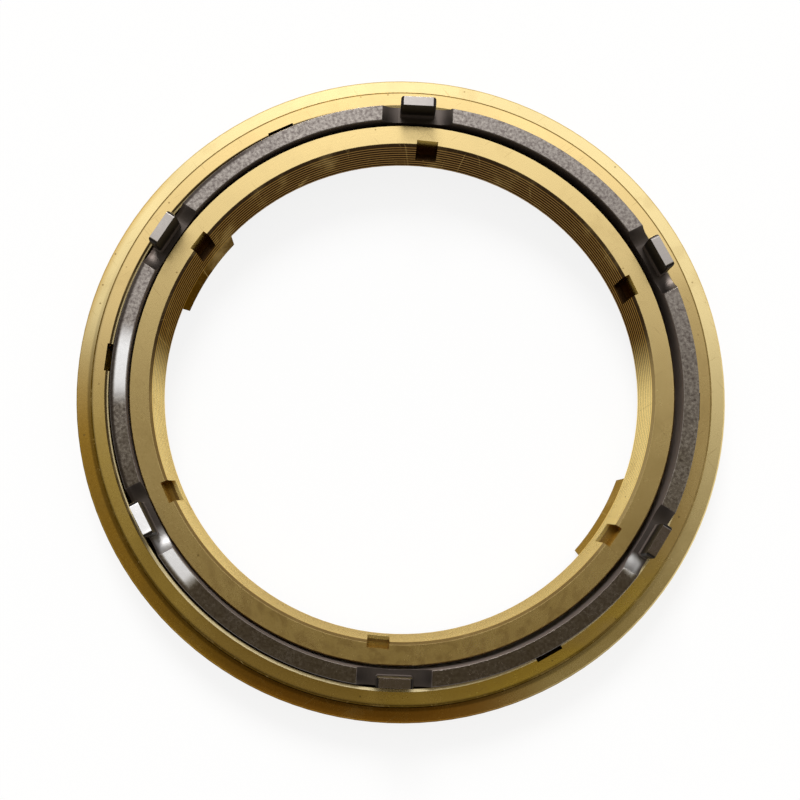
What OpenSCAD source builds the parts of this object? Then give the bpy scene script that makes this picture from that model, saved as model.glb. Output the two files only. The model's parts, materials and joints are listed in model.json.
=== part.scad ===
// Triple-cone synchronizer ring set: a flanged brass outer ring, a steel cone ring with drive
// lugs and a brass inner ring, nested loosely and standing on their hub-side ends.
// +Z points to the gear side. The origin is on the axis of the outer ring, at its hub-side face.
// All sizes are in millimetres.

/* [Friction cones] */
// Half angle of every friction cone, in degrees
cone_angle = 6.75; // [5:0.25:9]
// Radial clearance between neighbouring cones while the rings lie loose
cone_clearance = 1; // [0.6:0.05:1.2]
// Gap left on the side where the cone ring lies nearest to the outer ring
lean_gap = 0.3; // [0.3:0.01:0.5]
// Direction in which the loose cone ring lies off centre, in degrees from +X
lean_direction = 0; // [0:1:359]

/* [Oil grooves] */
// Pitch of the grooves turned into the brass cones
groove_pitch = 1.25; // [1:0.05:2]
// Width of a groove at the cone surface
groove_width = 0.7; // [0.4:0.05:0.9]
// Depth of a groove
groove_depth = 0.3; // [0.15:0.05:0.5]
// Plain land left at each end of a grooved cone
groove_land = 0.6; // [0.4:0.1:1.5]

/* [Outer ring] */
// Height of the outer ring
outer_height = 12.5; // [11:0.5:16]
// Diameter of the outer ring's cone at its gear-side face
outer_cone_d = 149; // [130:0.2:170]
// Radial wall of the lip at the gear-side face
lip_wall = 4.34; // [3:0.02:6]
// Height of the lip above the flange
lip_height = 2.6; // [1:0.1:4]
// Radial width of the flange outside the lip
flange_width = 4.16; // [3:0.02:7]
// Thickness of the flange
flange_thickness = 4.5; // [3:0.1:6]
// Radial wall of the skirt at the hub-side face
skirt_wall = 4.3; // [3:0.1:6]
// Lead-in chamfer at the mouth of the outer cone
outer_lead_in = 0.75; // [0.4:0.05:1.2]
// Width of the undercut at the foot of the lip
undercut_width = 0.45; // [0.3:0.05:0.8]
// Depth of the undercut at the foot of the lip
undercut_depth = 0.3; // [0.2:0.05:0.6]
// Tangential length of an oil notch in the outer cone
notch_length = 7; // [4:0.1:9]
// Radial depth of an oil notch at the mouth of the cone
notch_depth = 1.15; // [0.8:0.05:1.5]

/* [Cone ring] */
// Height of the cone ring without its lugs
cone_ring_height = 16.1; // [14:0.1:20]
// Radial wall between the cone ring's two cones
cone_ring_wall = 4.08; // [3.5:0.02:6]
// Chamfer on the inner edge of the cone ring's gear-side face
cone_ring_inner_chamfer = 0.2; // [0.1:0.05:0.5]
// Number of drive lugs
lug_count = 6; // [3:1:8]
// Tangential width of a drive lug
lug_width = 9; // [6:0.1:14]
// Radial thickness of a drive lug
lug_thickness = 2.3; // [1.6:0.05:3]
// Height of a drive lug above the gear-side face
lug_height = 6.9; // [5:0.1:12]
// Setback of a drive lug from the inner cone
lug_setback = 1.05; // [0.4:0.01:1.4]
// Radius of a drive lug's upper corners
lug_corner_r = 0.9; // [0.6:0.1:3]
// Chamfer on a drive lug's upright edges
lug_edge = 0.35; // [0.2:0.05:0.7]
// Direction of the first drive lug, in degrees from +X
lug_phase = 27.5; // [0:0.5:59.5]
// Length of the relief scoop beside a drive lug
relief_length = 4.7; // [3:0.1:7]
// Depth of the relief scoop beside a drive lug
relief_depth = 1.9; // [1:0.1:3]
// Flat run between a drive lug and the curve of its relief scoop
relief_flat = 0.5; // [0.3:0.1:1.5]

/* [Inner ring] */
// Height of the inner ring without its tabs
inner_height = 11.4; // [10:0.1:14]
// Radial wall between the inner ring's two cones
inner_wall = 5.64; // [4:0.02:8]
// Chamfer at the mouth of the bore
mouth_chamfer = 0.75; // [0.5:0.05:1.5]
// Chamfer on the outer edge of the inner ring's gear-side face
rim_chamfer = 0.35; // [0.2:0.05:1]
// Number of oil slots in the bore
slot_count = 6; // [3:1:8]
// Width of an oil slot
slot_width = 5.5; // [3:0.1:8]
// Radial depth of an oil slot at the mouth of the bore
slot_depth = 1.65; // [1.2:0.05:3]
// Length of an oil slot along the axis
slot_length = 7.5; // [4:0.1:9]
// Direction of the first oil slot, in degrees from +X
slot_phase = 24.3; // [0:0.1:59.9]
// Drop of the driving tabs below the inner ring
tab_drop = 3.7; // [2.5:0.1:6]
// Width of a driving tab at its tip
tab_width = 21.5; // [14:0.5:28]
// Widening of a driving tab on each side at its root
tab_flare = 1.6; // [0.5:0.1:3]
// Distance by which a driving tab's inner face leans inward at the tip
tab_lean = 1.1; // [0:0.1:2]
// Direction of the first driving tab, in degrees from +X
tab_phase = 148; // [0:1:179]

/* [Edges] */
// Chamfer on the turned edges of the brass rings
brass_edge = 0.4; // [0.2:0.05:0.6]
// Small break on the edges of the friction cones
cone_edge = 0.15; // [0.1:0.05:0.3]

/* [Hidden] */
$fn = 128;
slack = 1;

// Directions of the oil notches: a pair on each side of the tabs
notch_directions = [115, 174, 298.5, 356.5];
tab_directions = [tab_phase, tab_phase + 180];

// Radii of the nested cones at a height z
slope = tan(cone_angle);
function outer_cone_r(z) = outer_cone_d / 2 + (z - outer_height) * slope;
function cone_ring_outer_r(z) = outer_cone_r(z) - cone_clearance;
function cone_ring_inner_r(z) = cone_ring_outer_r(z) - cone_ring_wall;
function inner_outer_r(z) = cone_ring_inner_r(z) - cone_clearance;
function inner_bore_r(z) = inner_outer_r(z) - inner_wall;

// Heights and radii that follow from the driving sizes
flange_top = outer_height - lip_height;
flange_bottom = flange_top - flange_thickness;
lip_r = outer_cone_r(outer_height) + lip_wall;
flange_r = lip_r + flange_width;
skirt_r = outer_cone_r(0) + skirt_wall;
notch_r = outer_cone_r(outer_height) + notch_depth;
lean = cone_clearance - lean_gap;
lug_top = cone_ring_height + lug_height;
lug_floor = cone_ring_height - relief_depth;
lug_inner_r = cone_ring_inner_r(cone_ring_height) + lug_setback;
lug_outer_r = lug_inner_r + lug_thickness;
inner_top = tab_drop + inner_height;
slot_r = inner_bore_r(inner_top) + slot_depth;
tab_root = inner_wall / 2;

// Radius and centre of a relief scoop, from its length and depth
relief_run = relief_length - relief_flat;
relief_r = (pow(relief_run, 2) + pow(relief_depth, 2)) / (2 * relief_depth);
relief_rise = relief_r - relief_depth;
relief_side = lug_width / 2 + relief_flat;

// Points of a grooved cone from z_low up to z_high. The line through r_low with the cones' slope
// carries V grooves, which go outward where side is 1 and inward where side is -1.
function grooved_cone(r_low, z_low, z_high, side) =
    let (
        room = z_high - z_low - 2 * groove_land - groove_width,
        last = floor(room / groove_pitch),
        first_z = (z_low + z_high - last * groove_pitch) / 2,
        r_at = function (z) r_low + (z - z_low) * slope
    )
    [
        for (i = [0 : last], step = [-1, 0, 1])
            let (z = first_z + i * groove_pitch + step * groove_width / 2)
            [r_at(z) + (step == 0 ? side * groove_depth : 0), z]
    ];

// The points of a list in the opposite order
function reversed(points) = [for (i = [len(points) - 1 : -1 : 0]) points[i]];

// A block that reaches outward from radius r_from to r_to, centred on a direction
module radial_block(direction, r_from, r_to, width, z_from, z_to) {
    rotate([0, 0, direction])
        translate([r_from, -width / 2, z_from])
            cube([r_to - r_from, width, z_to - z_from]);
}

// A flat outline drawn across the ring at a direction and pushed outward from r_from to r_to.
// The outline's X runs round the ring and its Y runs along the axis.
module radial_extrude(direction, r_from, r_to) {
    rotate([0, 0, direction])
        translate([r_from, 0, 0])
            rotate([90, 0, 90])
                linear_extrude(r_to - r_from) children();
}

// The turned body of the outer ring: skirt, flange, lip and grooved cone
module outer_ring_turning() {
    mouth_z = outer_height - outer_lead_in;
    rotate_extrude() polygon(concat(
        [
            [outer_cone_r(0) + cone_edge, 0],
            [skirt_r - brass_edge, 0],
            [skirt_r, brass_edge],
            [skirt_r, flange_bottom],
            [flange_r - brass_edge, flange_bottom],
            [flange_r, flange_bottom + brass_edge],
            [flange_r, flange_top - brass_edge],
            [flange_r - brass_edge, flange_top],
            [lip_r + undercut_width, flange_top],
            [lip_r + undercut_width / 2, flange_top - undercut_depth],
            [lip_r, flange_top - undercut_depth],
            [lip_r, outer_height - brass_edge],
            [lip_r - brass_edge, outer_height],
            [outer_cone_r(mouth_z) + outer_lead_in, outer_height],
            [outer_cone_r(mouth_z), mouth_z]
        ],
        reversed(grooved_cone(outer_cone_r(0), 0, mouth_z, 1)),
        [[outer_cone_r(cone_edge), cone_edge]]
    ));
}

module outer_ring() {
    color([0.84, 0.72, 0.42]) difference() {
        outer_ring_turning();
        for (direction = notch_directions)
            radial_block(direction, outer_cone_r(0) - slack, notch_r, notch_length,
                -slack, outer_height + slack);
    }
}

// The turned body of the cone ring, smooth on both cones
module cone_ring_turning() {
    top = cone_ring_height;
    rotate_extrude() polygon([
        [cone_ring_inner_r(0) + cone_edge, 0],
        [cone_ring_outer_r(0) - cone_edge, 0],
        [cone_ring_outer_r(cone_edge), cone_edge],
        [cone_ring_outer_r(top - cone_edge), top - cone_edge],
        [cone_ring_outer_r(top) - cone_edge, top],
        [cone_ring_inner_r(top) + cone_ring_inner_chamfer, top],
        [cone_ring_inner_r(top - cone_ring_inner_chamfer), top - cone_ring_inner_chamfer],
        [cone_ring_inner_r(cone_edge), cone_edge]
    ]);
}

// The two scoops beside a lug and the flat between them, as one cut
module lug_relief(direction) {
    r_from = cone_ring_inner_r(0) - slack;
    r_to = cone_ring_outer_r(cone_ring_height) + slack;
    radial_extrude(direction, r_from, r_to) {
        for (side = [-1, 1])
            translate([side * relief_side, cone_ring_height + relief_rise]) circle(relief_r);
        translate([-relief_side, lug_floor])
            square([2 * relief_side, relief_rise + relief_depth]);
    }
}

// A lug's front outline: straight sides and round upper corners, sunk into the ring at its foot
module lug_outline() {
    foot = lug_floor - relief_depth;
    shoulder = lug_top - lug_corner_r;
    translate([-lug_width / 2, foot]) square([lug_width, shoulder - foot]);
    for (side = [-1, 1])
        translate([side * (lug_width / 2 - lug_corner_r), shoulder]) circle(lug_corner_r);
    translate([-lug_width / 2 + lug_corner_r, foot])
        square([lug_width - 2 * lug_corner_r, lug_top - foot]);
}

// A lug's section seen from above: a bar with chamfered corners
module lug_section() {
    side = lug_width / 2;
    polygon([
        [lug_inner_r + lug_edge, -side],
        [lug_outer_r - lug_edge, -side],
        [lug_outer_r, -side + lug_edge],
        [lug_outer_r, side - lug_edge],
        [lug_outer_r - lug_edge, side],
        [lug_inner_r + lug_edge, side],
        [lug_inner_r, side - lug_edge],
        [lug_inner_r, -side + lug_edge]
    ]);
}

// A drive lug: its section, trimmed to its front outline
module drive_lug(direction) {
    intersection() {
        radial_extrude(direction, lug_inner_r - slack, lug_outer_r + slack) lug_outline();
        rotate([0, 0, direction]) linear_extrude(lug_top + slack) lug_section();
    }
}

module cone_ring() {
    lug_directions = [for (i = [0 : lug_count - 1]) lug_phase + i * 360 / lug_count];
    color([0.45, 0.43, 0.41])
        translate([lean * cos(lean_direction), lean * sin(lean_direction), 0]) {
            difference() {
                cone_ring_turning();
                for (direction = lug_directions) lug_relief(direction);
            }
            for (direction = lug_directions) drive_lug(direction);
        }
}

// The turned body of the inner ring, grooved on both cones
module inner_ring_turning() {
    mouth_z = inner_top - mouth_chamfer;
    rotate_extrude() polygon(concat(
        [
            [inner_bore_r(tab_drop), tab_drop],
            [inner_outer_r(tab_drop) - brass_edge, tab_drop],
            [inner_outer_r(tab_drop + brass_edge), tab_drop + brass_edge]
        ],
        grooved_cone(inner_outer_r(tab_drop), tab_drop, inner_top - rim_chamfer, -1),
        [
            [inner_outer_r(inner_top - rim_chamfer), inner_top - rim_chamfer],
            [inner_outer_r(inner_top) - rim_chamfer, inner_top],
            [inner_bore_r(mouth_z) + mouth_chamfer, inner_top],
            [inner_bore_r(mouth_z), mouth_z]
        ],
        reversed(grooved_cone(inner_bore_r(tab_drop), tab_drop, mouth_z, 1))
    ));
}

// A driving tab: a piece of a turned ring, cut to an outline that is wider at its root
module driving_tab(direction) {
    root_z = tab_drop + tab_root;
    intersection() {
        rotate_extrude() polygon([
            [inner_bore_r(tab_drop) - tab_lean, 0],
            [inner_outer_r(0) - brass_edge, 0],
            [inner_outer_r(0) - brass_edge, tab_drop],
            [inner_bore_r(root_z) + tab_root, root_z],
            [inner_bore_r(tab_drop), tab_drop]
        ]);
        radial_extrude(direction, inner_bore_r(0) / 2, inner_outer_r(0) + slack) polygon([
            [-tab_width / 2, 0],
            [tab_width / 2, 0],
            [tab_width / 2 + tab_flare, root_z],
            [-tab_width / 2 - tab_flare, root_z]
        ]);
    }
}

module inner_ring() {
    color([0.80, 0.67, 0.38]) {
        difference() {
            inner_ring_turning();
            for (i = [0 : slot_count - 1])
                radial_block(slot_phase + i * 360 / slot_count, inner_bore_r(0) / 2, slot_r,
                    slot_width, inner_top - slot_length, inner_top + slack);
        }
        for (direction = tab_directions) driving_tab(direction);
    }
}

outer_ring();
cone_ring();
inner_ring();
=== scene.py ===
"""Synchronizer ring set: surface finishes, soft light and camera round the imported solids."""

import json
import math

import bpy
from mathutils import Matrix, Vector

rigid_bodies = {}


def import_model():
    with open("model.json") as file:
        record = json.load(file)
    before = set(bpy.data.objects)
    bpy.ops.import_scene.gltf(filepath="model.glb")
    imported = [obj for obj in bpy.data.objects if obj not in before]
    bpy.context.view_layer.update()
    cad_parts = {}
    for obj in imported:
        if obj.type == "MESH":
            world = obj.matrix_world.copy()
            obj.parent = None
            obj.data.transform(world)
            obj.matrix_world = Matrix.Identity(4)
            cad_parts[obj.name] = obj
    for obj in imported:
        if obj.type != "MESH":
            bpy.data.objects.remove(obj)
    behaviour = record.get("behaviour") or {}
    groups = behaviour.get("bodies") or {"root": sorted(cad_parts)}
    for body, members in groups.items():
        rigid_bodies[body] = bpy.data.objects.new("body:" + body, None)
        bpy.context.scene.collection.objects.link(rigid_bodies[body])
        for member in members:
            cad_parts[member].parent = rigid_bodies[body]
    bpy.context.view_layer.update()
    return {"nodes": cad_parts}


MM = 0.001
QUARTER_TURN = 90.0

# Camera, as the photograph was taken: nearly straight down, leaning towards -Y
CAMERA_TARGET = Vector((-0.81, -3.02, 12.5)) * MM
CAMERA_DISTANCE = 290.3 * MM
CAMERA_TILT = math.radians(8.04)
CAMERA_AZIMUTH = math.radians(260.0)
CAMERA_LENS = 51.6
CAMERA_SENSOR = 36.0
CAMERA_CLIP = 0.01

# The outer ring, in millimetres: the radii of its rim, its lip and its lead-in edge, the middle
# and the reach of the worn part of the lead-in, which carries a painted highlight, the level of the
# lip, and the radius inside which everything below that level is the inner cone
RIM_R = 83.0
LIP_R = 78.84
LEAD_IN_R = 75.16
WORN_HIGHLIGHT_EDGE_R = 74.85
WORN_HIGHLIGHT_EDGE_REACH = 0.5
LIP_TOP = 12.5
CONE_LIMIT_R = LEAD_IN_R + 1.0

# The steel ring, in millimetres: the place of its axis, the radii of the middle and of the outer
# edge of its face, how far from the middle the face is burnished and painted pale as a glint, where
# its edge is painted dark as shade, the levels of the face and of the lug tops, and the heights at
# which face, lugs and lug tops begin
STEEL_AXIS_X = 0.7
STEEL_MID_R = 71.3
STEEL_OUTER_R = 73.8
BURNISH_GLINT_REACH = 2.2
SHADED_EDGE_R = (STEEL_OUTER_R - 1.1, STEEL_OUTER_R - 0.5)
STEEL_TOP = 16.1
LUG_TOP = 23.0
FACE_HEIGHT = (STEEL_TOP - 0.15, STEEL_TOP - 0.05)
LUG_HEIGHT = (STEEL_TOP + 0.1, STEEL_TOP + 0.6)
LUG_TOP_HEIGHT = (LUG_TOP - 0.5, LUG_TOP - 0.2)

# The inner ring, in millimetres: the radius of its bore, the radii where its slots begin and end,
# the level and the depth of the slots' bevel, the levels of its face and its tabs, and the level
# and the pitch of the lands in its bore
BORE_R = 63.0
SLOT_BEGIN_R = (63.7, 63.8)
SLOT_END_R = 65.5
SLOT_BEVEL_Z = 13.0
SLOT_BEVEL_DEPTH = 1.4
INNER_TOP = 15.1
TAB_TOP = 3.7
LAND_Z = 5.275
LAND_PITCH = 1.25

# Softness of the bounds between two surfaces, in millimetres, and rounding of the steel's edges
EDGE_STEP = 0.12
LIP_STEP = 0.1
EDGE_ROUND = 0.10 * MM
EDGE_SAMPLES = 4

# The upward part of a unit normal at which a kind of surface begins to show and shows in full. The
# lead-in lies between two such slopes.
SCOOP_SLOPE = (0.2, 0.4)
FACE_SLOPE = (0.6, 0.95)
LUG_TOP_SLOPE = (0.97, 0.998)
LEAD_IN_SLOPES = ((0.5, 0.6), (0.8, 0.9))

# Colours of the metals, some of them painted shade or painted highlight in place of light
LIP_BRASS = (0.83, 0.62, 0.27)
# Painted shade: the lip darker and more saturated on its lower side
SHADED_LIP_BRASS = (0.77, 0.555, 0.15)
FLANGE_BRASS = (0.87, 0.70, 0.34)
INNER_BRASS = (0.80, 0.61, 0.27)
BORE_BRASS = (0.98, 0.79, 0.35)
AMBER_STAIN = (0.54, 0.29, 0.012)
RUST_STAIN = (0.42, 0.16, 0.02)
GOLD_STAIN = (0.86, 0.62, 0.11)
DULL_BRASS = (0.50, 0.36, 0.15)
# Painted shade: a brown for the lower side of the lip and of the inner face
SHADE_BROWN = (0.42, 0.27, 0.11)
# Dark brass for the pits of the specks, and painted shade in the inner ring's recesses, tabs and
# bore
SPECK_AND_SHADE_BRASS = (0.26, 0.165, 0.055)
# Painted shade: the bore's dark side and the tabs there
DEEP_SHADE_BRASS = (0.042, 0.021, 0.010)
# Painted highlight: the lines along the lands on the bore's dark side
LAND_HIGHLIGHT = (0.26, 0.165, 0.085)
# Painted shade: darker brass in the slots, and darker still deep in them on the side towards +Y
SHADED_SLOT_BRASS = (0.40, 0.29, 0.10)
DEEP_SLOT_SHADE = (0.12, 0.065, 0.02)
# Painted highlight: the pale brass of the worn lead-in edge
PAINTED_HIGHLIGHT_BRASS = (0.98, 0.83, 0.48)
BRASS_EDGE_TINT = (0.80, 0.60, 0.34)
# Painted shade: the near-black brown of the step, the rim, the cone and the lead-in
PAINTED_SHADE = (0.05, 0.026, 0.005)
BRIGHT_STEEL = (0.42, 0.38, 0.34)
DULL_STEEL = (0.15, 0.122, 0.112)
# Burnished steel, paler than steel can be, as a painted glint of reflected light
BURNISHED_GLINT_STEEL = (0.80, 0.79, 0.78)
LUG_STEEL = (0.52, 0.48, 0.45)
# Painted shade: darker steel for two lug tops
SHADED_LUG_STEEL = (0.24, 0.20, 0.19)
# Painted shade: the dark steel of the scoops beside the lugs
SHADED_SCOOP_STEEL = (0.09, 0.075, 0.066)
WALL_STEEL = (0.12, 0.10, 0.09)
INNER_WALL_STEEL = (0.15, 0.12, 0.105)
# Painted shade: dark steel for the face's edge and for the inner wall's side towards +Y
PAINTED_SHADE_STEEL = (0.05, 0.038, 0.032)
# Painted shade: the near-black steel of the lugs' sides
SHADED_LUG_WALL_STEEL = (0.028, 0.024, 0.022)

# Noises, with scales in features per millimetre
BLOTCHES = {"scale": 0.09, "detail": 6.0, "roughness": 0.62}
GRAIN = {"scale": 1.6, "detail": 3.0, "roughness": 0.6}
TURNING = {"scale": 5.0, "detail": 2.0, "roughness": 0.5}
HAIRLINES = {"scale": 2.2, "detail": 1.0, "roughness": 0.5}
STAIN_STREAKS = {"scale": 0.09, "detail": 3.0, "roughness": 0.5}
# Streaks of the painted shade on the inner face
SHADE_STREAKS = {"scale": 0.35, "detail": 3.0, "roughness": 0.5}
MOTTLE = {"scale": 1.25, "detail": 5.0, "roughness": 0.65}
CLOUDS = {"scale": 0.22, "detail": 3.0, "roughness": 0.5}

# Values of a noise, or of the lands' wave, at which a mark begins and is full
BLOTCH_STEP = (0.5, 0.75)
GRAIN_STEP = (0.5, 0.8)
HAIRLINE_STEP = (0.70, 0.76)
GOLD_STEP = (0.3, 0.55)
SHADE_STEP = (0.45, 0.65)
MOTTLE_STEP = (0.26, 0.7)
LAND_STEP = (0.6, 0.99)

# Directions of the hairlines in degrees, and their noise's scale along them as a share of that
# across them
HAIRLINE_DIRECTIONS = (35.0, 128.0)
HAIRLINE_STRETCH = 0.06

# Specks: cells per millimetre, the edge of a pit as a share of its cell, and which cells have one
SPECK_SCALE = 0.3
SPECK_EDGE = (0.05, 0.10)
SPECK_CHOICE = (0.6, 0.7)

# How strongly the marks change the brass, and how strongly painted shade covers what lies below
# its face
BLOTCH_SHARE = 0.35
GRAIN_SHARE = 0.12
HAIRLINE_SHARE = 0.4
SPECK_SHARE = 0.7
RECESS_SHADE_SHARE = 0.98

# Roughness: what each noise adds, and where it starts from. The steel's matt walls are also less
# metallic than the rest.
BRASS_ROUGHNESS = {"blotches": 0.12, "grain": 0.08, "least": 0.16}
STEEL_ROUGHNESS = {"mottle": 0.18, "clouds": 0.12, "walls": 0.28, "face": 0.10}
WALL_METALLIC = 0.1

# Fine relief
TURNING_BUMP = {"depth": 0.006 * MM, "strength": 0.5}
GRAIN_BUMP = {"depth": 0.0015 * MM, "strength": 0.4}
MOTTLE_BUMP = {"depth": 0.01 * MM, "strength": 0.5}

# Patches of stains, of painted shade and of painted light. An arc gives a direction round the axis,
# a half width and a softness in degrees, and the share says how strong the patch is in its middle.
# Painted shade on the lower side of the lip
SHADED_LIP = {"arc": (245.0, 45.0, 30.0), "share": 1.0}
# Painted shade on a narrow arc of the lip's lower side
LIP_SHADE = {"arc": (246.0, 8.0, 16.0), "share": 0.4}
AMBER_FLANGE = {"arc": (232.0, 40.0, 26.0), "share": 1.0}
RUSTY_FLANGE = {"arc": (264.0, 12.0, 22.0), "share": 0.6}
ORANGE_RIM = {"arc": (153.0, 8.0, 12.0), "share": 0.5}
GOLDEN_LIP = {"arc": (303.0, 12.0, 16.0), "share": 0.8}
# Painted shade on the bore's side towards +Y, whose wall faces away from the light
SHADED_BORE_SIDE = {"arc": (90.0, 76.0, 18.0), "share": 1.0}
# Painted shade on the bore's side towards -Y
BORE_SHADE_PATCH = {"arc": (278.0, 32.0, 25.0), "share": 0.28}
# Painted light: the recesses are painted less dark on the +X side
LIT_RECESS = {"arc": (345.0, 12.0, 18.0), "share": 1.0}
# Painted shade, in streaks, on the inner face's lower side
FACE_SHADE = {"arc": (268.0, 25.0, 35.0), "share": 0.4}
# Painted shade on the steel's inner wall, on its side towards +Y
SHADED_WALL = {"arc": (85.0, 45.0, 35.0), "share": 1.0}
# Painted shade on the outer edge of the steel face, on the -X side
SHADED_EDGE = {"arc": (165.0, 38.0, 12.0), "share": 0.9}

# The amber stain's unevenness, the orange stain's width on the rim in millimetres, and the spots of
# the steel face: their arc and their shares outside and inside it
AMBER_SHARES = (0.75, 1.0)
ORANGE_WIDTH = 1.8
SPOTTED_ARC = (85.0, 100.0, 30.0)
SPOT_SHARES = (0.3, 1.0)

# Bands of painted shade round the outer ring: along the lip's edge, on the flange at the lip's
# foot and at the rim, some of them stronger on the lower side. Each gives a middle and a reach in
# millimetres, an arc, and the shares outside and inside the arc. The lead-in has a band of its own,
# and the cone is painted dark as shade all round.
LOWER_SIDE = (240.0, 50.0, 45.0)
SHADE_BANDS = (
    {"middle": LIP_R + 0.3, "reach": 1.3, "arc": LOWER_SIDE, "shares": (0.0, 0.55)},
    {"middle": LIP_R + 1.1, "reach": 2.4, "arc": (248.0, 10.0, 24.0), "shares": (0.0, 0.3)},
    {"middle": LIP_R - 0.15, "reach": 0.45, "arc": LOWER_SIDE, "shares": (0.8, 0.95)},
    {"middle": RIM_R, "reach": 0.5, "arc": LOWER_SIDE, "shares": (0.1, 0.8)},
)
LEAD_IN_SHADE = {
    "middle": LEAD_IN_R - 0.13,
    "reach": 0.36,
    "arc": (160.0, 45.0, 15.0),
    "shares": (0.0, 0.95),
}
CONE_SHADE = 0.92

# Burnished patches of the steel face and of one lug's top, also painted pale as glints of reflected
# light: the arc, and how far the worn surface leans towards +Y. The scoops beside the lugs are
# burnished and painted pale less than the face.
BURNISHED_GLINTS = (
    {"arc": (175.5, 2.5, 6.5), "tilt": 0.07},
    {"arc": (216.7, 4.0, 3.5), "tilt": 0.13},
    {"arc": (321.5, 0.8, 1.8), "tilt": 0.10},
)
BURNISHED_GLINT_LUG = ({"arc": (207.5, 6.0, 2.0), "tilt": 0.15},)
SCOOP_BURNISH_GLINT = 0.6

# A part of the steel face that leans a little, given in the same way
STEEL_LEANS = ({"arc": (161.0, 4.0, 6.0), "tilt": 0.035},)

# Lug tops that lean a little and are painted darker as shade, given in the same way
LEANING_SHADED_LUGS = (
    {"arc": (267.5, 8.0, 4.0), "tilt": -0.05},
    {"arc": (327.5, 8.0, 4.0), "tilt": -0.02},
)

# Parts of the brass faces that were not turned quite flat, given in the same way
FLANGE_LEANS = (
    {"arc": (5.0, 28.0, 30.0), "tilt": 0.035},
    {"arc": (36.0, 14.0, 20.0), "tilt": 0.022},
    {"arc": (155.0, 6.0, 14.0), "tilt": 0.022},
)
LIP_LEANS = (
    {"arc": (48.0, 10.0, 20.0), "tilt": 0.04},
    {"arc": (8.0, 8.0, 14.0), "tilt": -0.016},
    {"arc": (158.0, 6.0, 12.0), "tilt": 0.012},
)
INNER_LEANS = (
    {"arc": (48.0, 8.0, 18.0), "tilt": 0.012},
    {"arc": (172.0, 10.0, 20.0), "tilt": -0.018},
)

# Push on the normal of the worn part of the lead-in
WORN_EDGE_PUSH = (0.0, 0.0, 2.9)

# A broad soft sun on the +Y side
SUN_DIRECTION = Vector((-0.1, 0.75, 0.66))
SUN_STRENGTH = 2.5
SUN_WIDTH = math.radians(24.0)

# The sky: plain and pale all round, dim and warm above that, with a faint glow overhead, one bright
# side towards +Y and a white band at the horizon. Each step gives the share of a unit direction at
# which it begins and ends.
PLAIN_SKY = (0.42, 0.40, 0.36)
DIM_SKY = (0.12, 0.097, 0.05)
GLOW_SKY = (0.175, 0.142, 0.066)
BRIGHT_SKY = (1.02, 1.02, 1.04)
WHITE_SKY = (1.0, 1.0, 1.0)
DIM_HEIGHT = (0.82, 0.94)
GLOW_HEIGHT = (0.88, 0.985)
BRIGHT_SIDE = (0.095, 0.315)
BRIGHT_HEIGHT = (0.45, 0.7)
HORIZON = (0.08, 0.24)

# The floor: its side in metres, how far it is lifted towards white, and the radii in millimetres
# between which it stays in the rings' own shade
FLOOR_COLOUR = (0.95, 0.95, 0.95)
FLOOR_SIZE = 6.0
FLOOR_ROUGHNESS = 0.9
FLOOR_LIFT = 0.85
FLOOR_SHADE_INSIDE = (63.2, 65.0)
FLOOR_SHADE_OUTSIDE = (82.0, 84.0)


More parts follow.
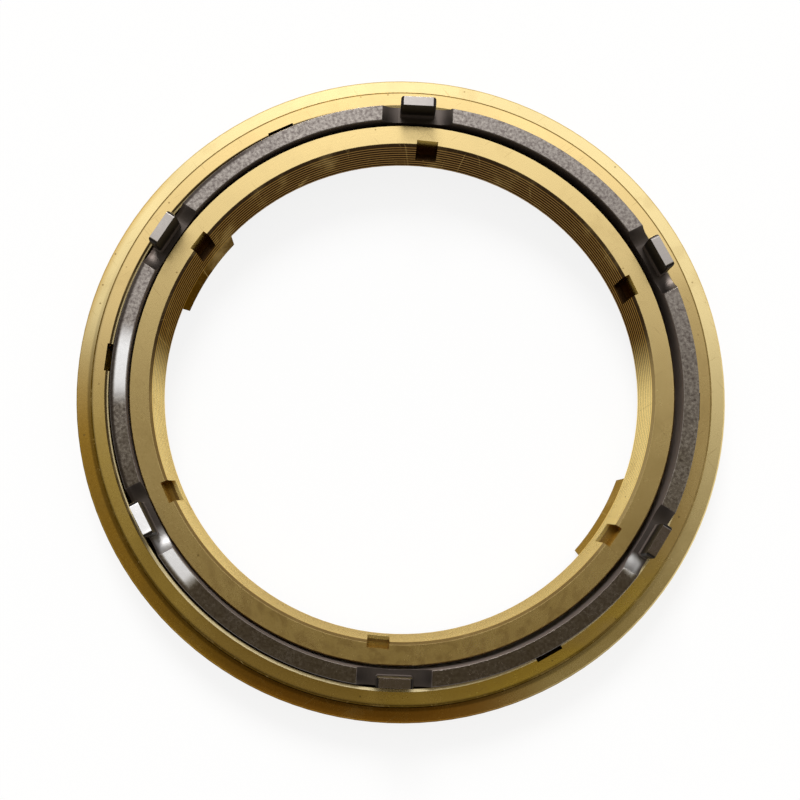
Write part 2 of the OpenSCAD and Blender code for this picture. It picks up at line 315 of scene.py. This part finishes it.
class Graph:
    """The nodes of a material or a sky, with a short call for each kind that is used."""

    def __init__(self, owner, shader):
        owner.use_nodes = True
        self.owner = owner
        self.tree = owner.node_tree
        self.shader = self.tree.nodes[shader]

    def feed(self, socket, value):
        """Joins an output to a socket, or sets the socket to a plain value or colour."""
        if isinstance(value, bpy.types.NodeSocket):
            self.tree.links.new(value, socket)
        elif isinstance(value, tuple):
            socket.default_value = (*value, 1.0)
        else:
            socket.default_value = value

    def node(self, kind, **settings):
        """A new node with its settings."""
        made = self.tree.nodes.new("ShaderNode" + kind)
        for key, value in settings.items():
            setattr(made, key, value)
        return made

    def filled(self, made, *values):
        """The first output of a node, once the values are fed to its inputs in order."""
        for socket, value in zip(made.inputs, values):
            self.feed(socket, value)
        return made.outputs[0]

    def math(self, operation, *values):
        """The result of one operation."""
        return self.filled(self.node("Math", operation=operation), *values)

    def times(self, first, *others):
        """The product of the values."""
        for value in others:
            first = self.math("MULTIPLY", first, value)
        return first

    def plus(self, first, *others):
        """The sum of the values."""
        for value in others:
            first = self.math("ADD", first, value)
        return first

    def highest(self, first, *others):
        """The highest of the values."""
        for value in others:
            first = self.math("MAXIMUM", first, value)
        return first

    def remainder(self, share):
        """What a share leaves of 1."""
        return self.math("SUBTRACT", 1.0, share)

    def vector(self, x, y, z):
        """A vector from its three parts."""
        return self.filled(self.node("CombineXYZ"), x, y, z)

    def parts(self, vector):
        """The three parts of a vector."""
        made = self.node("SeparateXYZ")
        self.feed(made.inputs[0], vector)
        return made.outputs

    def smooth(self, value, low, high):
        """0 below low, 1 above high and a soft step between them."""
        made = self.node("MapRange", interpolation_type="SMOOTHSTEP")
        return self.filled(made, value, low, high)

    def between(self, share, low, high):
        """Brings a share from 0 to 1 to the range from low to high."""
        return self.filled(self.node("MapRange"), share, 0.0, 1.0, low, high)

    def noise(self, vector, scale, detail, roughness):
        """A cloudy noise."""
        made = self.node("TexNoise")
        self.feed(made.inputs["Vector"], vector)
        made.inputs["Scale"].default_value = scale
        made.inputs["Detail"].default_value = detail
        made.inputs["Roughness"].default_value = roughness
        return made.outputs["Fac"]

    def mix(self, share, first, second):
        """The first colour, turned into the second where share is 1."""
        made = self.node("Mix", data_type="RGBA")
        # The colours are the node's seventh and eighth inputs and its third output
        factor, a, b = made.inputs[0], made.inputs[6], made.inputs[7]
        for socket, value in ((factor, share), (a, first), (b, second)):
            self.feed(socket, value)
        return made.outputs[2]

    def bump(self, height, normal, depth, strength):
        """The normal with fine relief."""
        made = self.node("Bump")
        self.feed(made.inputs["Height"], height)
        self.feed(made.inputs["Normal"], normal)
        made.inputs["Distance"].default_value = depth
        made.inputs["Strength"].default_value = strength
        return made.outputs[0]

    def rounded(self, radius):
        """The normal with every sharp edge rounded off."""
        return self.filled(self.node("Bevel", samples=EDGE_SAMPLES), radius)

    def pushed(self, normal, share, push):
        """The normal with a push along the piece's own axes, where share is 1."""
        turned = self.node(
            "VectorTransform", vector_type="VECTOR", convert_from="OBJECT", convert_to="WORLD"
        )
        own = self.vector(*(self.times(share, part) for part in push))
        total = self.node("VectorMath", operation="ADD")
        unit = self.node("VectorMath", operation="NORMALIZE")
        return self.filled(unit, self.filled(total, normal, self.filled(turned, own)))

    def below(self, value, level, step=EDGE_STEP):
        """0 above a level, rising to 1 over a step below it."""
        return self.remainder(self.smooth(value, level - step, level))

    def near(self, value, centre, reach):
        """1 within half the reach of the centre, falling to 0 at the reach."""
        away = self.math("ABSOLUTE", self.math("SUBTRACT", value, centre))
        return self.remainder(self.smooth(away, reach / 2, reach))

    def place(self, axis_x=0.0):
        """The point in millimetres, its parts as seen from the axis, and its radius."""
        scaled = self.node("VectorMath", operation="SCALE")
        scaled.inputs["Scale"].default_value = 1 / MM
        point = self.filled(scaled, self.node("TexCoord").outputs["Object"])
        x, y, z = self.parts(point)
        x = self.math("SUBTRACT", x, axis_x)
        radius = self.math("SQRT", self.plus(self.times(x, x), self.times(y, y)))
        return {"point": point, "x": x, "y": y, "z": z, "radius": radius}

    def facing_up(self, low, high):
        """1 where the normal's upward part is above high, 0 where it is below low."""
        normal = self.node("TexCoord").outputs["Normal"]
        return self.smooth(self.parts(normal)["Z"], low, high)

    def along(self, place, direction):
        """How far the point lies from the axis in a direction, given in degrees."""
        angle = math.radians(direction)
        share_x = self.times(place["x"], math.cos(angle))
        return self.plus(share_x, self.times(place["y"], math.sin(angle)))

    def arc(self, place, direction, half_width, softness):
        """1 within half_width of a direction round the axis, falling to 0 over the softness."""
        cosine = self.math("DIVIDE", self.along(place, direction), place["radius"])
        low = math.cos(math.radians(half_width + softness))
        high = math.cos(math.radians(half_width))
        return self.smooth(cosine, low, high)

    def patch(self, place, spot):
        """The share of one patch of wear or dirt."""
        return self.times(self.arc(place, *spot["arc"]), spot["share"])

    def leaned(self, place, normal, share, leans):
        """The normal with each of the leans in its own arc of the ring, where share is 1."""
        for lean in leans:
            part = self.times(self.arc(place, *lean["arc"]), share)
            normal = self.pushed(normal, part, (0.0, lean["tilt"], 0.0))
        return normal

    def toned(self, place, colour, share, leans, tone):
        """The colour with a tone in the arc of each of the leans, where share is 1."""
        for lean in leans:
            part = self.times(self.arc(place, *lean["arc"]), share)
            colour = self.mix(part, colour, tone)
        return colour

    def scratches(self, place, direction):
        """1 on thin hairlines that run in one direction across the ring."""
        across = self.along(place, direction + QUARTER_TURN)
        lengthwise = self.times(self.along(place, direction), HAIRLINE_STRETCH)
        streaks = self.noise(self.vector(across, lengthwise, 0.0), **HAIRLINES)
        return self.smooth(streaks, *HAIRLINE_STEP)

    def specks(self, point):
        """1 in small scattered pits."""
        cells = self.node("TexVoronoi")
        self.feed(cells.inputs["Vector"], point)
        cells.inputs["Scale"].default_value = SPECK_SCALE
        pit = self.remainder(self.smooth(cells.outputs["Distance"], *SPECK_EDGE))
        chance = self.filled(self.node("SeparateColor"), cells.outputs["Color"])
        return self.times(pit, self.smooth(chance, *SPECK_CHOICE))


def new_finish(name):
    """The nodes of a new material."""
    return Graph(bpy.data.materials.new(name), "Principled BSDF")


def turned_brass(name, base, lean):
    """Satin brass with turning marks, blotches, hairlines and specks.

    base gives the ring's colour, with its stains, painted shade and painted highlights, and lean
    gives its normal."""
    g = new_finish(name)
    place = g.place()
    blotches = g.noise(place["point"], **BLOTCHES)
    grain = g.noise(place["point"], **GRAIN)
    rings = g.noise(g.vector(place["radius"], 0.0, place["z"]), **TURNING)
    hairlines = g.highest(*(g.scratches(place, direction) for direction in HAIRLINE_DIRECTIONS))

    colour = base(g, place)
    colour = g.mix(g.times(g.smooth(blotches, *BLOTCH_STEP), BLOTCH_SHARE), colour, DULL_BRASS)
    colour = g.mix(g.times(g.smooth(grain, *GRAIN_STEP), GRAIN_SHARE), colour, DULL_BRASS)
    colour = g.mix(g.times(hairlines, HAIRLINE_SHARE), colour, DULL_BRASS)
    colour = g.mix(g.times(g.specks(place["point"]), SPECK_SHARE), colour, SPECK_AND_SHADE_BRASS)
    g.feed(g.shader.inputs["Base Color"], colour)
    g.feed(g.shader.inputs["Specular Tint"], BRASS_EDGE_TINT)
    g.shader.inputs["Metallic"].default_value = 1.0

    roughness = g.plus(
        g.times(blotches, BRASS_ROUGHNESS["blotches"]),
        g.times(grain, BRASS_ROUGHNESS["grain"]),
        BRASS_ROUGHNESS["least"],
    )
    g.feed(g.shader.inputs["Roughness"], roughness)
    normal = lean(g, place, g.node("NewGeometry").outputs["Normal"])
    normal = g.bump(rings, normal, **TURNING_BUMP)
    g.feed(g.shader.inputs["Normal"], g.bump(grain, normal, **GRAIN_BUMP))
    return g.owner


def flange_share(g, place):
    """1 outside the lip, 0 on it."""
    return g.smooth(place["radius"], LIP_R - LIP_STEP, LIP_R + LIP_STEP)


def worn_highlight_edge_share(g, place):
    """1 along the middle of the lead-in, which is worn round and carries a painted highlight."""
    begins, ends = LEAD_IN_SLOPES
    slanted = g.math("SUBTRACT", g.facing_up(*begins), g.facing_up(*ends))
    return g.times(g.near(place["radius"], WORN_HIGHLIGHT_EDGE_R, WORN_HIGHLIGHT_EDGE_REACH), slanted)


def shade_band_share(g, place, band):
    """The share of one band of painted shade."""
    across = g.near(place["radius"], band["middle"], band["reach"])
    return g.times(across, g.between(g.arc(place, *band["arc"]), *band["shares"]))


def outer_base(g, place):
    """The lip's colour, the paler flange, the stains of both, painted shade and a painted
    highlight.
    """
    radius = place["radius"]
    flange = flange_share(g, place)
    streaks = g.noise(place["point"], **STAIN_STREAKS)
    # The lip is painted darker on its lower side, as shade
    lip_colour = g.mix(g.patch(place, SHADED_LIP), LIP_BRASS, SHADED_LIP_BRASS)
    # and browner still in a narrow arc there, also as painted shade
    lip_colour = g.mix(g.patch(place, LIP_SHADE), lip_colour, SHADE_BROWN)
    colour = g.mix(flange, lip_colour, FLANGE_BRASS)

    amber = g.times(g.patch(place, AMBER_FLANGE), g.between(streaks, *AMBER_SHARES), flange)
    rust = g.times(g.patch(place, RUSTY_FLANGE), flange)
    orange = g.times(g.patch(place, ORANGE_RIM), g.smooth(radius, RIM_R - ORANGE_WIDTH, RIM_R))
    gold = g.times(g.patch(place, GOLDEN_LIP), g.smooth(streaks, *GOLD_STEP), g.remainder(flange))
    colour = g.mix(amber, colour, AMBER_STAIN)
    colour = g.mix(rust, colour, RUST_STAIN)
    colour = g.mix(orange, colour, AMBER_STAIN)
    colour = g.mix(gold, colour, GOLD_STAIN)

    # Painted shade in bands along the lip's edge, on the flange at its foot and at the rim
    for band in SHADE_BANDS:
        colour = g.mix(shade_band_share(g, place, band), colour, PAINTED_SHADE)
    # The cone below the lip, in the gap round the steel ring, is painted dark as shade
    cone = g.times(g.below(place["z"], LIP_TOP), g.below(radius, CONE_LIMIT_R))
    colour = g.mix(g.times(cone, CONE_SHADE), colour, PAINTED_SHADE)
    # The worn middle of the lead-in is painted pale, as a highlight
    colour = g.mix(worn_highlight_edge_share(g, place), colour, PAINTED_HIGHLIGHT_BRASS)
    # The outer part of the lead-in is painted dark as shade
    return g.mix(shade_band_share(g, place, LEAD_IN_SHADE), colour, PAINTED_SHADE)


def outer_lean(g, place, normal):
    """The outer ring's normal, with its uneven faces and its worn edge."""
    flange = flange_share(g, place)
    normal = g.leaned(place, normal, flange, FLANGE_LEANS)
    normal = g.leaned(place, normal, g.remainder(flange), LIP_LEANS)
    return g.pushed(normal, worn_highlight_edge_share(g, place), WORN_EDGE_PUSH)


def inner_base(g, place):
    """The face's colour, darker in streaks on its lower side as painted shade, the recesses and
    slots below it painted dark as shade, and the bore.

    The bore is bright on one side, and on the other it is painted dark as shade, with painted
    highlights along its lands."""
    radius, z = place["radius"], place["z"]
    under_face = g.below(z, INNER_TOP)
    bore = g.times(under_face, g.below(radius, BORE_R + EDGE_STEP / 2))
    wave = g.math("COSINE", g.times(g.math("SUBTRACT", z, LAND_Z), math.tau / LAND_PITCH))
    land = g.smooth(wave, *LAND_STEP)
    # Painted shade on the side towards +Y, for the bore, its tabs and the slots
    shaded_side = g.patch(place, SHADED_BORE_SIDE)
    # Painted shade for the tabs and the recesses, darkest on the side towards +Y
    tab_shade_colour = g.mix(shaded_side, SPECK_AND_SHADE_BRASS, DEEP_SHADE_BRASS)
    # The recesses are painted less dark on the +X side, as painted light
    recess_shade_colour = g.mix(g.patch(place, LIT_RECESS), tab_shade_colour, DULL_BRASS)
    # The bore is painted a little darker towards -Y, as shade
    bore_colour = g.mix(g.patch(place, BORE_SHADE_PATCH), BORE_BRASS, SPECK_AND_SHADE_BRASS)
    # There the bore is painted dark as shade, with painted highlights along its lands
    bore_colour = g.mix(shaded_side, bore_colour, g.mix(land, DEEP_SHADE_BRASS, LAND_HIGHLIGHT))
    # The tabs at the foot of the bore are painted dark as shade
    bore_colour = g.mix(g.below(z, TAB_TOP), bore_colour, tab_shade_colour)

    # The inner face is painted darker in streaks on its lower side, as shade
    streaks = g.noise(g.vector(radius, place["x"], 0.0), **SHADE_STREAKS)
    face_shade = g.times(g.patch(place, FACE_SHADE), g.smooth(streaks, *SHADE_STEP))
    colour = g.mix(face_shade, INNER_BRASS, SHADE_BROWN)
    # Below the face the inner ring is painted dark as shade
    colour = g.mix(g.times(under_face, RECESS_SHADE_SHARE), colour, recess_shade_colour)
    # The slots are painted darker brass as shade, darker still deep down on the side towards +Y
    slot = g.times(g.smooth(radius, *SLOT_BEGIN_R), g.below(radius, SLOT_END_R), under_face)
    deep_slot_shade = g.times(shaded_side, g.below(z, SLOT_BEVEL_Z, SLOT_BEVEL_DEPTH))
    colour = g.mix(slot, colour, g.mix(deep_slot_shade, SHADED_SLOT_BRASS, DEEP_SLOT_SHADE))
    return g.mix(bore, colour, bore_colour)


def inner_lean(g, place, normal):
    """The inner ring's normal, with its uneven face."""
    return g.leaned(place, normal, 1.0, INNER_LEANS)


def steel():
    """Dark steel with matt walls, a mottled ground face, scoops painted dark as shade, and lugs.

    The face has burnished patches, painted pale as glints, and an edge and an inner wall painted
    dark as shade. The lugs have pale tops, two of them painted darker as shade, and sides painted
    black as shade."""
    g = new_finish("ground_steel")
    place = g.place(STEEL_AXIS_X)
    radius, z = place["radius"], place["z"]
    scoop = g.times(g.facing_up(*SCOOP_SLOPE), g.below(z, FACE_HEIGHT[1]))
    face = g.times(g.facing_up(*FACE_SLOPE), g.smooth(z, *FACE_HEIGHT))
    lug = g.smooth(z, *LUG_HEIGHT)
    lug_top = g.times(g.facing_up(*LUG_TOP_SLOPE), g.smooth(z, *LUG_TOP_HEIGHT))
    open_face = g.highest(face, g.times(scoop, SCOOP_BURNISH_GLINT))
    open_face = g.times(open_face, g.near(radius, STEEL_MID_R, BURNISH_GLINT_REACH))

    mottle = g.noise(place["point"], **MOTTLE)
    clouds = g.noise(place["point"], **CLOUDS)
    spotted = g.between(g.arc(place, *SPOTTED_ARC), *SPOT_SHARES)
    spots = g.times(g.smooth(mottle, *MOTTLE_STEP), spotted)
    # The inner wall is painted dark as shade on its side towards +Y
    inner_wall = g.mix(g.patch(place, SHADED_WALL), INNER_WALL_STEEL, PAINTED_SHADE_STEEL)
    colour = g.mix(g.below(radius, STEEL_MID_R), WALL_STEEL, inner_wall)
    # The scoops are painted dark as shade
    colour = g.mix(scoop, colour, SHADED_SCOOP_STEEL)
    colour = g.mix(face, colour, g.mix(spots, DULL_STEEL, BRIGHT_STEEL))
    # Burnished patches of the face, painted pale as glints
    colour = g.toned(place, colour, open_face, BURNISHED_GLINTS, BURNISHED_GLINT_STEEL)
    # The face's outer edge is painted dark as shade on the -X side
    edge = g.times(g.smooth(radius, *SHADED_EDGE_R), g.patch(place, SHADED_EDGE))
    colour = g.mix(edge, colour, PAINTED_SHADE_STEEL)
    # The lugs' sides are painted black as shade
    colour = g.mix(lug_top, g.mix(lug, colour, SHADED_LUG_WALL_STEEL), LUG_STEEL)
    # One lug top is painted pale as a glint
    colour = g.toned(place, colour, lug_top, BURNISHED_GLINT_LUG, BURNISHED_GLINT_STEEL)
    # Two lug tops are painted darker as shade
    colour = g.toned(place, colour, lug_top, LEANING_SHADED_LUGS, SHADED_LUG_STEEL)
    g.feed(g.shader.inputs["Base Color"], colour)
    bare = g.highest(face, scoop, lug)
    g.feed(g.shader.inputs["Metallic"], g.between(bare, WALL_METALLIC, 1.0))

    roughness = g.plus(
        g.times(mottle, STEEL_ROUGHNESS["mottle"]),
        g.times(clouds, STEEL_ROUGHNESS["clouds"]),
        g.between(face, STEEL_ROUGHNESS["walls"], STEEL_ROUGHNESS["face"]),
    )
    g.feed(g.shader.inputs["Roughness"], roughness)
    normal = g.leaned(place, g.rounded(EDGE_ROUND), open_face, BURNISHED_GLINTS + STEEL_LEANS)
    normal = g.leaned(place, normal, lug_top, BURNISHED_GLINT_LUG + LEANING_SHADED_LUGS)
    g.feed(g.shader.inputs["Normal"], g.bump(mottle, normal, **MOTTLE_BUMP))
    return g.owner


def finish_nodes(nodes):
    """Puts each ring's finish in its material slot."""
    finishes = {
        "outer_ring": turned_brass("outer_brass_finish", outer_base, outer_lean),
        "inner_ring": turned_brass("inner_brass_finish", inner_base, inner_lean),
        "cone_ring": steel(),
    }
    for name, material in finishes.items():
        nodes[name].material_slots[0].material = material


def add_floor():
    """A plain pale floor under the rings, lifted towards white where it is seen or mirrored."""
    half = FLOOR_SIZE / 2
    corners = [(-half, -half, 0), (half, -half, 0), (half, half, 0), (-half, half, 0)]
    mesh = bpy.data.meshes.new("floor")
    mesh.from_pydata(corners, [], [(0, 1, 2, 3)])
    floor = bpy.data.objects.new("floor", mesh)
    bpy.context.scene.collection.objects.link(floor)
    g = new_finish("floor_white")
    g.feed(g.shader.inputs["Base Color"], FLOOR_COLOUR)
    g.shader.inputs["Roughness"].default_value = FLOOR_ROUGHNESS
    g.shader.inputs["Specular IOR Level"].default_value = 0.0

    ray = g.node("LightPath").outputs
    seen = g.highest(ray["Is Camera Ray"], ray["Is Glossy Ray"], ray["Is Transmission Ray"])
    radius = g.place()["radius"]
    past_bore = g.smooth(radius, *FLOOR_SHADE_INSIDE)
    under_rings = g.math("SUBTRACT", past_bore, g.smooth(radius, *FLOOR_SHADE_OUTSIDE))
    lift = g.times(seen, g.between(under_rings, FLOOR_LIFT, 0.0))
    white = g.node("Emission")
    white.inputs["Strength"].default_value = 1.0
    lifted = g.filled(g.node("MixShader"), lift, g.shader.outputs[0], white.outputs[0])
    g.feed(g.tree.nodes["Material Output"].inputs["Surface"], lifted)
    mesh.materials.append(g.owner)


def add_sun():
    """A broad sun that lights the floor evenly and throws soft shadows."""
    light = bpy.data.lights.new("sun", "SUN")
    light.energy = SUN_STRENGTH
    light.angle = SUN_WIDTH
    sun = bpy.data.objects.new("sun", light)
    sun.rotation_euler = SUN_DIRECTION.to_track_quat("Z", "Y").to_euler()
    bpy.context.scene.collection.objects.link(sun)


def add_sky():
    """A plain sky, dim higher up, with a glow overhead, a bright side and a white horizon."""
    world = bpy.data.worlds.new("studio")
    bpy.context.scene.world = world
    g = Graph(world, "Background")
    direction = g.parts(g.node("TexCoord").outputs["Generated"])
    height = direction["Z"]
    bright = g.times(g.smooth(direction["Y"], *BRIGHT_SIDE), g.smooth(height, *BRIGHT_HEIGHT))
    colour = g.mix(g.smooth(height, *DIM_HEIGHT), PLAIN_SKY, DIM_SKY)
    colour = g.mix(g.smooth(height, *GLOW_HEIGHT), colour, GLOW_SKY)
    colour = g.mix(bright, colour, BRIGHT_SKY)
    colour = g.mix(g.smooth(height, *HORIZON), WHITE_SKY, colour)
    g.feed(g.shader.inputs["Color"], colour)


def add_camera():
    """The camera leans back from straight down, with image right along +X and image up along +Y."""
    data = bpy.data.cameras.new("camera")
    data.lens = CAMERA_LENS
    data.sensor_width = CAMERA_SENSOR
    data.clip_start = CAMERA_CLIP
    lean_axis = Vector((-math.sin(CAMERA_AZIMUTH), math.cos(CAMERA_AZIMUTH), 0.0))
    turn = Matrix.Rotation(CAMERA_TILT, 4, lean_axis)
    place = CAMERA_TARGET + turn @ Vector((0.0, 0.0, CAMERA_DISTANCE))
    camera = bpy.data.objects.new("camera", data)
    camera.matrix_world = Matrix.Translation(place) @ turn
    bpy.context.scene.collection.objects.link(camera)
    bpy.context.scene.camera = camera


for leftover in list(bpy.data.objects):
    bpy.data.objects.remove(leftover)
bpy.context.scene.view_settings.view_transform = "Standard"
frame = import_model()
add_camera()
add_sun()
add_sky()
add_floor()
finish_nodes(frame["nodes"])
